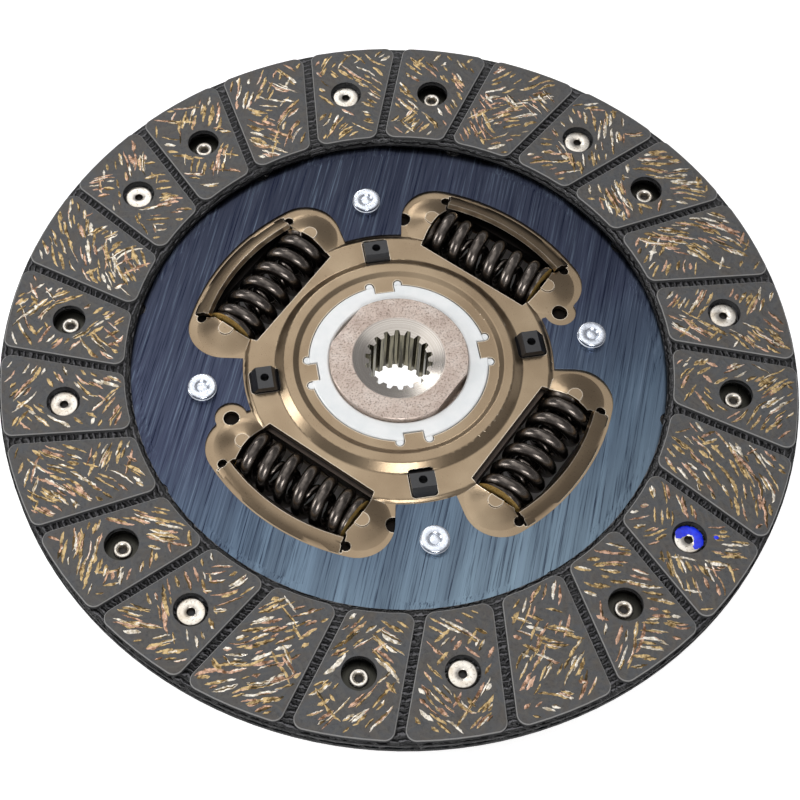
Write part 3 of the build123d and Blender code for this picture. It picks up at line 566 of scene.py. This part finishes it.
def natural_nylon():
    """Natural nylon: bluish white, light passing into its thin edges."""
    return mottled(
        "nylon_natural_moulded", {"Scale": 0.12, **CLOUDY},
        [(0.35, "#e6e9e9"), (0.65, colours().nylon)], 0.05, Roughness=0.32, IOR=1.53,
        Subsurface_Weight=0.35, Subsurface_Scale=1.5 * MM, Subsurface_Radius=(1.1, 1.1, 1.1))


def black_nylon():
    """Glass-filled black nylon, moulded smooth."""
    return mottled(
        "nylon_black_glass_filled", {"Scale": 1.8, "Roughness": 0.6},
        [(0.3, "#111113"), (0.7, colours().lug)], 0.01, Roughness=0.25, IOR=1.55)


def clear_zinc():
    """Clear zinc on turned steel: bright, faintly blue, with turning marks."""
    return mottled(
        "steel_clear_zinc_turned", {"Scale": 1.5, **CLOUDY},
        [(0.35, "#c8ced8"), (0.6, colours().pin), (0.8, "#f4f4f2")], 0.03, Metallic=1.0, Roughness=0.27)


def rivet_bore_shade():
    """Painted shade in the bore of a rivet: brown black, half dull."""
    material, tree = new_material("rivet_bore_painted_shade")
    fine = add(tree, "TexNoise", {"Vector": place(tree), "Scale": 1.5})
    surface(tree, Metallic=0.0, Roughness=0.45, IOR=1.5,
            Base_Color=add(tree, "ValToRGB", (fine,), stops=[(0.35, "#0e0c0a"), (0.7, "#2a231b")]))
    return material


def marking_paint():
    """A dab of blue marking paint, still wet-looking."""
    return mottled(
        "marking_paint_blue", {"Scale": 0.8},
        [(0.35, "#0a22d8"), (0.65, "#1238f5")], 0.06, Roughness=0.28, IOR=1.5)


def plain_steel():
    """Bare rolled steel of the hidden rings."""
    material, tree = new_material("steel_bare_rolled")
    fine = add(tree, "TexNoise", {
        "Vector": place(tree, 0.0, (0.1, 1.0, 1.0)), "Scale": 1.2, **CLOUDY})
    surface(tree, Metallic=1.0, Roughness=0.38,
            Base_Color=add(tree, "ValToRGB", (fine,), stops=[(0.35, "#85878a"), (0.65, "#a4a6a8")]),
            Normal=add(tree, "Bump", {"Height": fine, "Distance": 0.01 * MM}))
    return material


# ------------------------------------------------------------------ operators
class CLUTCH_OT_facings(bpy.types.Operator):
    """Finish of the two facings"""

    bl_idname = "clutch.facings"
    bl_label = "Friction facings"

    def execute(self, context):
        composite = friction_composite()
        for node in ("facing_front", "facing_rear"):
            dress(node, composite, bevel=0)
        return {"FINISHED"}


def pad_faces(node):
    """Ray test against a facing: tells whether a point lies on a pad's face, clear of its edges."""
    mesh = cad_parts[node].data
    tree = BVHTree.FromPolygons([v.co for v in mesh.vertices], [p.vertices for p in mesh.polygons])

    def on_pad(point, face, side, clear):
        for dx, dy in ((0, 0), (clear, 0), (-clear, 0), (0, clear), (0, -clear)):
            start = Vector((point.x + dx, point.y + dy, face + side * 5 * MM))
            hit = tree.ray_cast(start, Vector((0, 0, -side)))[0]
            if hit is None or abs(hit.z - face) > 0.02 * MM:
                return False
        return True

    return on_pad


class CLUTCH_OT_fibres(bpy.types.Operator):
    """Brass and copper fibres lying in the pads along the wound yarns, with pale painted glints and
    dark painted shade on some fibres and strips
    """

    bl_idname = "clutch.fibres"
    bl_label = "Metal fibres"

    def execute(self, context):
        s = sizes()
        # the pale finish is a painted glint and the dark one a painted shade
        finishes = [metal_fibre("fibre_brass", "#d2b684", "#6b5430"),
                    metal_fibre("fibre_copper", "#d9b197", "#6f4f38"),
                    metal_fibre("fibre_painted_glint", "#f6efe2", "#a3947a"),
                    metal_fibre("fibre_painted_shade", "#6d5631", "#37301f")]
        for node, face, side in (("facing_front", FACING_HIGH.z, 1), ("facing_rear", REAR_LOW.z, -1)):
            chance = random.Random(7 + side)
            on_pad = pad_faces(node)
            verts, faces, kinds = [], [], []
            taken = set()
            made = 0
            for _ in range(40 * s.fibre_count):
                if made == s.fibre_count:
                    break
                path = self.yarn_path(chance, on_pad, face, side, taken)
                if path:
                    self.sliver(chance, path, side, verts, faces, kinds)
                    made += 1
            if made < s.fibre_count / 2:
                raise RuntimeError("too few fibres fitted on the pads")
            piece = mesh_piece(node + "_fibres", verts, faces, finishes[0])
            for finish in finishes[1:]:
                piece.data.materials.append(finish)
            for polygon, kind in zip(piece.data.polygons, kinds):
                polygon.material_index = kind
        return {"FINISHED"}

    def yarn_path(self, chance, on_pad, face, side, taken):
        """Points of one fibre along its yarn, or None where it leaves its pad or meets another."""
        s = sizes()
        low = FACING_HIGH.x * FACING_BORE
        radius = math.sqrt(chance.uniform(low ** 2, FACING_HIGH.x ** 2))
        point = polar(radius, chance.uniform(0, 2 * math.pi), face)
        patch = noise_value(point * 45 + Vector((0, 0, side * 9)))
        hand = 1 if patch + chance.gauss(0, 0.1) > 0 else -1
        length = min(10 * MM, max(2 * MM, chance.lognormvariate(math.log(5.2), 0.42) * MM))
        bow = chance.gauss(0, 0.035)
        half = max(2, round(length / FIBRE_PACE / 2))

        def heading(at, count):
            lean = s.yarn_slant + 0.55 * noise_value(at * 70 + Vector((4, 0, side * 5)))
            wave = 0.3 * noise_value(at * 260)
            return math.atan2(at.y, at.x) + math.pi / 2 + hand * (lean + bow * count) + wave

        arms = []
        for way in (-1, 1):
            at, arm = point.copy(), []
            for count in range(half):
                at = at + polar(way * FIBRE_PACE, heading(at, way * count))
                arm.append(at)
            arms.append(arm)
        path = arms[0][::-1] + [point] + arms[1]
        for at in path[::3] + [path[-1]]:
            if not on_pad(at, face, side, EDGE_ROOM):
                return None
        cells = {(round(at.x / FIBRE_ROOM), round(at.y / FIBRE_ROOM)) for at in path}
        steps = ((0, 0), (1, 0), (0, 1), (-1, 0), (0, -1))
        near = {(i + di, j + dj) for i, j in cells for di, dj in steps}
        if near & taken and chance.random() > 0.1:
            return None
        taken |= cells
        return path

    def sliver(self, chance, path, side, verts, faces, kinds):
        """One fibre: pointed ends, ragged edges and a ridge that runs off its middle."""
        first, last = len(verts), len(path) - 1
        width = sizes().fibre_width * chance.uniform(0.6, 1.35)
        proud = chance.uniform(0.04, 0.1) * MM
        # a fibre's main finish: brass, copper or the pale painted glint
        main = chance.choices((0, 1, 2), (0.6, 0.24, 0.16))[0]
        ridge = chance.uniform(-0.3, 0.3)
        for step, point in enumerate(path):
            t = step / last
            ahead = (path[min(step + 1, last)] - path[max(step - 1, 0)]).normalized()
            across = Vector((-ahead.y, ahead.x, 0))
            half = width / 2 * (0.12 + 0.88 * math.sin(math.pi * t) ** 0.55) * chance.uniform(0.72, 1.2)
            shift = chance.gauss(0, 0.06) * width
            ridge = max(-0.5, min(0.5, ridge + chance.gauss(0, 0.12)))
            for u, lift in ((-1, 0), (ridge - 0.3, proud), (ridge + 0.3, proud * 0.7), (1, 0)):
                up = lift * chance.uniform(0.7, 1.1) if lift else -0.02 * MM
                verts.append(point + across * (shift + half * u) + Vector((0, 0, side * up)))
        # one side strip often takes the painted shade; further on, strips switch between brass, copper,
        # painted glint and painted shade
        shade = [3 if chance.random() < 0.55 else main, main, main]
        if chance.random() < 0.5:
            shade.reverse()
        for step in range(last):
            if chance.random() < 0.25:
                shade[chance.randrange(3)] = chance.choices((main, 2, 1, 3), (0.42, 0.24, 0.1, 0.24))[0]
            for k in range(3):
                a = first + step * 4 + k
                quad = (a, a + 4, a + 5, a + 1)
                faces.append(quad[::-1] if side > 0 else quad)
                kinds.append(shade[k])


class CLUTCH_OT_plates(bpy.types.Operator):
    """Finish of the cushion plate and the two retainer plates"""

    bl_idname = "clutch.plates"
    bl_label = "Plates"

    def execute(self, context):
        dress("cushion_plate", blued_steel(), bevel=0.08 * MM)
        zinc = yellow_zinc()
        for node in ("retainer_plate_front", "retainer_plate_rear"):
            dress(node, zinc, bevel=0.26 * MM)
        return {"FINISHED"}


class CLUTCH_OT_hub(bpy.types.Operator):
    """Finish of the hub, its bushes and the friction rings"""

    bl_idname = "clutch.hub"
    bl_label = "Hub"

    def execute(self, context):
        dress("hub", forged_steel(), bevel=0, angle=26, split=True)
        nylon = natural_nylon()
        for node in ("hub_bush_front", "hub_bush_rear"):
            dress(node, nylon, bevel=0.2 * MM)
        dress("friction_ring", black_nylon(), bevel=0.3 * MM, segments=3)
        steel = plain_steel()
        for node in ("friction_washer", "pressure_ring", "disc_spring"):
            dress(node, steel, bevel=0.05 * MM)
        return {"FINISHED"}


def coil_mesh(outer, wire_diameter, pitch, crest, hand):
    """A coil along X with closed and ground ends, one crest on +Z: vertices and faces."""
    half = sizes().spring_length / 2
    wire = wire_diameter / 2
    mean = outer - wire
    closing_at = half - CLOSING_START * wire_diameter
    closing_rate = CLOSED_PITCH * wire_diameter / pitch
    tip = half + 0.55 * wire
    per_turn, around = 40, 16

    def axial(turn):
        x = crest + pitch * turn
        if abs(x) > closing_at:
            x = math.copysign(closing_at + (abs(x) - closing_at) * closing_rate, x)
        return x

    first = next(t / per_turn for t in range(0, 40 * per_turn) if axial(-t / per_turn) < -tip)
    last = next(t / per_turn for t in range(0, 40 * per_turn) if axial(t / per_turn) > tip)
    steps = round((first + last) * per_turn)
    verts, faces = [], []
    for step in range(steps + 1):
        turn = -first + step / per_turn
        angle = 2 * math.pi * turn
        # top at whole turns; a hand of -1 winds the other way
        angle *= hand
        centre = Vector((axial(turn), -mean * math.sin(angle), mean * math.cos(angle)))
        radial = Vector((0, -math.sin(angle), math.cos(angle)))
        rise = (axial(turn + 0.01) - axial(turn - 0.01)) / 0.02
        speed = -2 * math.pi * mean * hand
        tangent = Vector((rise, speed * math.cos(angle), speed * math.sin(angle))).normalized()
        side = tangent.cross(radial).normalized()
        for k in range(around):
            a = 2 * math.pi * k / around
            p = centre + wire * (math.cos(a) * radial + math.sin(a) * side)
            p.x = max(-half, min(half, p.x))
            verts.append(p)
    for step in range(steps):
        here, ahead = step * around, (step + 1) * around
        for k in range(around):
            n = (k + 1) % around
            faces.append((here + k, here + n, ahead + n, ahead + k))
    faces.append(tuple(range(around))[::-1])
    faces.append(tuple(steps * around + k for k in range(around)))
    return verts, faces


class CLUTCH_OT_springs(bpy.types.Operator):
    """The four damper springs and the springs inside them, closed and ground at both ends"""

    bl_idname = "clutch.springs"
    bl_label = "Damper springs"

    def execute(self, context):
        s = sizes()
        black, ground = oiled_spring_steel(), ground_end()
        for number, crest in enumerate(CREST_OFFSETS):
            out = polar(1, math.radians(45 + 90 * number))
            along = Vector((out.y, -out.x, 0))
            seat = Matrix((
                (along.x, out.x, 0, s.spring_circle * out.x),
                (along.y, out.y, 0, s.spring_circle * out.y),
                (0, 0, 1, s.spring_height),
                (0, 0, 0, 1)))
            outer = coil_mesh(s.spring_radius, s.spring_wire, s.spring_pitch, crest * MM, 1)
            inner = coil_mesh(s.inner_radius, s.inner_wire, s.inner_pitch, 0.6 * MM, -1)
            for name, node, (verts, faces) in (
                    (f"damper_spring_{number + 1}", f"spring_{number + 1}", outer),
                    (f"damper_inner_spring_{number + 1}", f"inner_spring_{number + 1}", inner)):
                piece = mesh_piece(name, verts, faces, black)
                piece.data.materials.append(ground)
                grind_ends(piece.data, s.spring_length / 2)
                piece.data.transform(seat)
                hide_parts(node)
                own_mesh(piece)
        return {"FINISHED"}


def grind_ends(mesh, half):
    """Gives the flat end faces of a coil their own finish and a sharp edge."""
    bm = bmesh.new()
    bm.from_mesh(mesh)
    bmesh.ops.dissolve_degenerate(bm, dist=0.002 * MM, edges=bm.edges)
    bmesh.ops.recalc_face_normals(bm, faces=bm.faces)
    for face in bm.faces:
        if all(abs(abs(v.co.x) - half) < 1e-6 for v in face.verts):
            face.material_index = 1
            face.smooth = False
    for edge in bm.edges:
        if len({f.material_index for f in edge.link_faces}) > 1:
            edge.smooth = False
    bm.to_mesh(mesh)
    bm.free()


class CLUTCH_OT_stop_pins(bpy.types.Operator):
    """The four stop pins with their two-step heads"""

    bl_idname = "clutch.stop_pins"
    bl_label = "Stop pins"

    def execute(self, context):
        zinc = clear_zinc()
        top, low = PIN_HIGH.z / MM, PIN_LOW.z / MM
        seat = CUSHION_LOW.z / MM + CUSHION_GAUGE
        # radius and height in millimetres, from the middle of the head to the middle of the tail
        profile = [
            (0.0, top - 0.42), (1.0, top - 0.5), (1.55, top - 0.62), (1.95, top - 0.1), (2.15, top),
            (3.75, top), (4.05, top - 0.08), (4.22, top - 0.25), (4.25, top - 0.5), (4.22, top - 0.95),
            (3.95, top - 1.05), (3.9, top - 1.3), (4.1, top - 1.4), (4.35, top - 1.5), (4.4, seat),
            (3.3, seat), (3.3, 16.6), (4.3, 16.6), (4.3, 12.4), (3.3, 12.4), (3.3, 10.8), (4.25, 10.8),
            (4.2, low + 1.0), (3.6, low + 0.35), (2.6, low), (0.0, low)]
        for number in range(4):
            angle = math.radians(90 * number)
            centre = polar(sizes().pin_circle, angle)
            verts, faces = lathe([(r * MM, h * MM) for r, h in profile], centre, 56, flip=True)
            piece = mesh_piece(f"stop_pin_{number + 1}_turned", verts, faces, zinc)
            finish_lathe(piece, 35)
            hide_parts(f"stop_pin_{number + 1}")
        return {"FINISHED"}


def finish_lathe(piece, angle):
    """Joins the axis points and keeps hard turned edges hard."""
    bm = bmesh.new()
    bm.from_mesh(piece.data)
    bmesh.ops.remove_doubles(bm, verts=bm.verts, dist=0.001 * MM)
    bmesh.ops.dissolve_degenerate(bm, dist=0.001 * MM, edges=bm.edges)
    bmesh.ops.recalc_face_normals(bm, faces=bm.faces)
    for edge in bm.edges:
        if len(edge.link_faces) == 2 and edge.calc_face_angle() > math.radians(angle):
            edge.smooth = False
    bm.to_mesh(piece.data)
    bm.free()


class CLUTCH_OT_rivets(bpy.types.Operator):
    """The facing rivets: eight heads forwards, eight rolled tails forwards"""

    bl_idname = "clutch.rivets"
    bl_label = "Facing rivets"

    def execute(self, context):
        steel, painted_bore_shade = rivet_steel(), rivet_bore_shade()
        s = sizes()
        # radius and height in millimetres, measured from the outer face of the head
        profile = [
            (0.0, -1.5), (1.1, -1.5), (1.15, -0.6), (1.2, -0.25), (1.4, -0.02), (2.6, 0.0), (3.8, 0.0),
            (4.05, -0.08), (4.2, -0.28), (4.2, -0.9), (2.1, -0.9), (2.1, -2.8), (2.55, -2.85),
            (2.8, -3.05), (2.8, -3.3), (2.62, -3.55), (2.3, -3.68), (1.9, -3.68), (1.55, -3.5),
            (1.3, -3.1), (1.25, -1.9), (0.0, -1.9)]
        rows = (("front_facing_rivets", RIVET_HIGH.z, 0.0, 1),
                ("rear_facing_rivets", REAR_LOW.z + RIVET_SINK, s.rear_rivet_turn, -1))
        for node, height, turn, side in rows:
            verts, faces = [], []
            for number in range(8):
                angle = turn + math.radians(45 * number)
                v, f = lathe([(r * MM, side * h * MM) for r, h in profile],
                             polar(s.rivet_circle, angle, height), 40, flip=side > 0)
                faces += [tuple(i + len(verts) for i in face) for face in f]
                verts += v
            piece = mesh_piece(node + "_formed", verts, faces, steel)
            finish_lathe(piece, 50)
            piece.data.materials.append(painted_bore_shade)
            # faces inside a rivet's bore take the painted shade
            centres = [polar(s.rivet_circle, turn + math.radians(45 * number)) for number in range(8)]
            for polygon in piece.data.polygons:
                at = Vector((polygon.center.x, polygon.center.y, 0))
                inside = min((at - centre).length for centre in centres) < 1.24 * MM
                if inside and abs(polygon.center.z - height) > 0.2 * MM:
                    polygon.material_index = 1
            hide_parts(node)
        return {"FINISHED"}


class CLUTCH_OT_paint(bpy.types.Operator):
    """A curved dab of marking paint on one rivet head, and a drop beside it"""

    bl_idname = "clutch.paint"
    bl_label = "Marking paint"

    def execute(self, context):
        s = sizes()
        chance = random.Random(3)
        head = polar(s.rivet_circle, math.radians(-45), RIVET_HIGH.z)
        verts, faces = [], []
        steps, across = 36, 6
        first_angle, last_angle = math.radians(165), math.radians(-75)
        for step in range(steps + 1):
            t = step / steps
            angle = first_angle + (last_angle - first_angle) * t
            end = min(1.0, 4 * t + 0.4, 4 * (1 - t) + 0.3) * (1 + 0.12 * math.sin(7 * t + 1))
            middle, half = 2.9 * MM, 1.42 * MM * end
            for k in range(across + 1):
                u = 2 * k / across - 1
                wander = chance.gauss(0, 0.07) * MM if abs(u) == 1 else 0
                lift = PAINT_HEIGHT * (1 - u ** 4) * min(1.0, 6 * t, 6 * (1 - t)) + 0.01 * MM
                verts.append(head + polar(middle + u * half + wander, angle, lift))
        for step in range(steps):
            for k in range(across):
                a = step * (across + 1) + k
                faces.append((a, a + 1, a + across + 2, a + across + 1))
        drop = polar(s.rivet_circle * 1.062, math.radians(-42.6), FACING_HIGH.z)
        base = len(verts)
        verts.append(drop + Vector((0, 0, PAINT_HEIGHT)))
        for ring, lift in ((0.4, 0.85), (0.8, 0.4), (1.0, 0.0)):
            for k in range(14):
                angle = 2 * math.pi * k / 14
                reach = ring * (0.72 + 0.08 * math.cos(3 * angle)) * MM
                verts.append(drop + polar(reach, angle, PAINT_HEIGHT * lift + 0.01 * MM))
        for k in range(14):
            n = (k + 1) % 14
            faces.append((base, base + 1 + k, base + 1 + n))
            for ring in range(2):
                a, b = base + 1 + 14 * ring, base + 15 + 14 * ring
                faces.append((a + k, b + k, b + n, a + n))
        mesh_piece("marking_paint_dab", verts, faces, marking_paint())
        return {"FINISHED"}


class CLUTCH_OT_stage(bpy.types.Operator):
    """Pale floor, soft lights and the camera"""

    bl_idname = "clutch.stage"
    bl_label = "Stage"

    def execute(self, context):
        floor_material, tree = new_material("stage_pale")
        matt = add(tree, "BsdfDiffuse", {"Color": (0.8, 0.8, 0.8, 1.0)})
        # painted shadow: the ring of floor under the disc gets no glow; painted light: the floor below
        # the bore glows at full strength, more than the rest; radii in millimetres
        radius = add(tree, "VectorMath", (add(tree, "TexCoord", out="Object"),), operation="LENGTH")
        reach = 200
        share = add(tree, "Math", (radius, 1 / (reach * MM)), operation="MULTIPLY")
        strength = add(tree, "ValToRGB", (share,), stops=[
            (20 / reach, 1.0), (25 / reach, 0.0), (108 / reach, 0.0), (112 / reach, 0.62)])
        glow = add(tree, "Emission", {"Color": (1, 1, 1, 1), "Strength": strength})
        both = add(tree, "AddShader", (matt, glow))
        rays = add(tree, "LightPath", out=None).outputs
        seen = add(tree, "Math", (rays["Is Camera Ray"], rays["Is Glossy Ray"]), operation="MAXIMUM")
        seen = add(tree, "Math", (seen, rays["Is Transmission Ray"]), operation="MAXIMUM")
        add(tree, "OutputMaterial", {"Surface": add(tree, "MixShader", (seen, matt, both))})
        radius, wall, bend, steps = 2.6, 0.45, 0.2, 96
        profile = [(0.01 * MM, 0.0), (radius - bend, 0.0)]
        for k in range(1, 9):
            a = math.radians(90 * k / 8)
            profile.append((radius - bend + bend * math.sin(a), bend - bend * math.cos(a)))
        profile.append((radius, wall))
        verts, faces = [], []
        for step in range(steps):
            for r, h in profile:
                verts.append(polar(r, 2 * math.pi * step / steps, h - 0.02 * MM))
        n = len(profile)
        for step in range(steps):
            after = (step + 1) % steps
            for i in range(n - 1):
                faces.append((step * n + i, after * n + i, after * n + i + 1, step * n + i + 1))
        mesh = bpy.data.meshes.new("floor_and_backdrop")
        mesh.from_pydata([tuple(v) for v in verts], [], faces)
        mesh.materials.append(floor_material)
        for polygon in mesh.polygons:
            polygon.use_smooth = True
        floor = bpy.data.objects.new("floor_and_backdrop", mesh)
        context.scene.collection.objects.link(floor)

        world = bpy.data.worlds.new("studio")
        context.scene.world = world
        world.use_nodes = True
        sky = world.node_tree.nodes["Background"]
        sky.inputs["Color"].default_value = (0.30, 0.30, 0.31, 1.0)
        sky.inputs["Strength"].default_value = 1.0

        def softbox(name, position, size, power):
            light = bpy.data.lights.new(name, "AREA")
            light.shape = "RECTANGLE"
            light.size, light.size_y = size
            light.energy = power
            lamp = bpy.data.objects.new(name, light)
            context.scene.collection.objects.link(lamp)
            lamp.location = position
            towards = Vector((0, 0, 0.01)) - Vector(position)
            lamp.rotation_euler = towards.to_track_quat("-Z", "Y").to_euler()

        softbox("softbox_over", (-0.1, 0.2, 1.45), (1.7, 1.6), 6.6)
        softbox("softbox_high", (-0.16, 0.56, 1.25), (1.0, 0.75), 1.3)
        softbox("softbox_behind", (-0.15, 1.3, 0.98), (0.5, 0.3), 3.0)
        softbox("softbox_left", (-1.3, 0.2, 0.55), (0.35, 0.6), 6.0)
        softbox("softbox_front", (-0.1, -1.1, 0.85), (0.5, 0.4), 7.5)

        camera = bpy.data.cameras.new("camera")
        camera.sensor_width = 36.0
        camera.lens = 77.32
        camera.shift_x, camera.shift_y = 0.075, 0.00375
        camera.clip_start = 0.01
        camera.dof.use_dof = False
        eye = bpy.data.objects.new("camera", camera)
        context.scene.collection.objects.link(eye)
        eye.location = (-0.06172, -0.25488, 0.46964)
        eye.rotation_euler = (0.502454, -0.007065, -0.157650)
        context.scene.camera = eye
        context.scene.view_settings.view_transform = "Standard"
        return {"FINISHED"}


class CLUTCH_PT_panel(bpy.types.Panel):
    """Lists the steps that dress the disc"""

    bl_idname = "CLUTCH_PT_panel"
    bl_label = "Clutch disc"
    bl_space_type = "VIEW_3D"
    bl_region_type = "UI"
    bl_category = "Clutch disc"

    def draw(self, context):
        for operator in STEPS:
            self.layout.operator(operator.bl_idname)


STEPS = (
    CLUTCH_OT_facings,
    CLUTCH_OT_fibres,
    CLUTCH_OT_plates,
    CLUTCH_OT_hub,
    CLUTCH_OT_springs,
    CLUTCH_OT_stop_pins,
    CLUTCH_OT_rivets,
    CLUTCH_OT_paint,
    CLUTCH_OT_stage,
)
CLASSES = (ClutchSizes, ClutchColours) + STEPS + (CLUTCH_PT_panel,)


def register():
    for one in CLASSES:
        bpy.utils.register_class(one)
    bpy.types.Scene.clutch_sizes = bpy.props.PointerProperty(type=ClutchSizes)
    bpy.types.Scene.clutch_colours = bpy.props.PointerProperty(type=ClutchColours)


def unregister():
    del bpy.types.Scene.clutch_sizes
    del bpy.types.Scene.clutch_colours
    for one in reversed(CLASSES):
        bpy.utils.unregister_class(one)


def main():
    register()
    bpy.ops.clutch.facings()
    bpy.ops.clutch.fibres()
    bpy.ops.clutch.plates()
    bpy.ops.clutch.hub()
    bpy.ops.clutch.springs()
    bpy.ops.clutch.stop_pins()
    bpy.ops.clutch.rivets()
    bpy.ops.clutch.paint()
    bpy.ops.clutch.stage()
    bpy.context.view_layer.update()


if __name__ == "__main__":
    main()
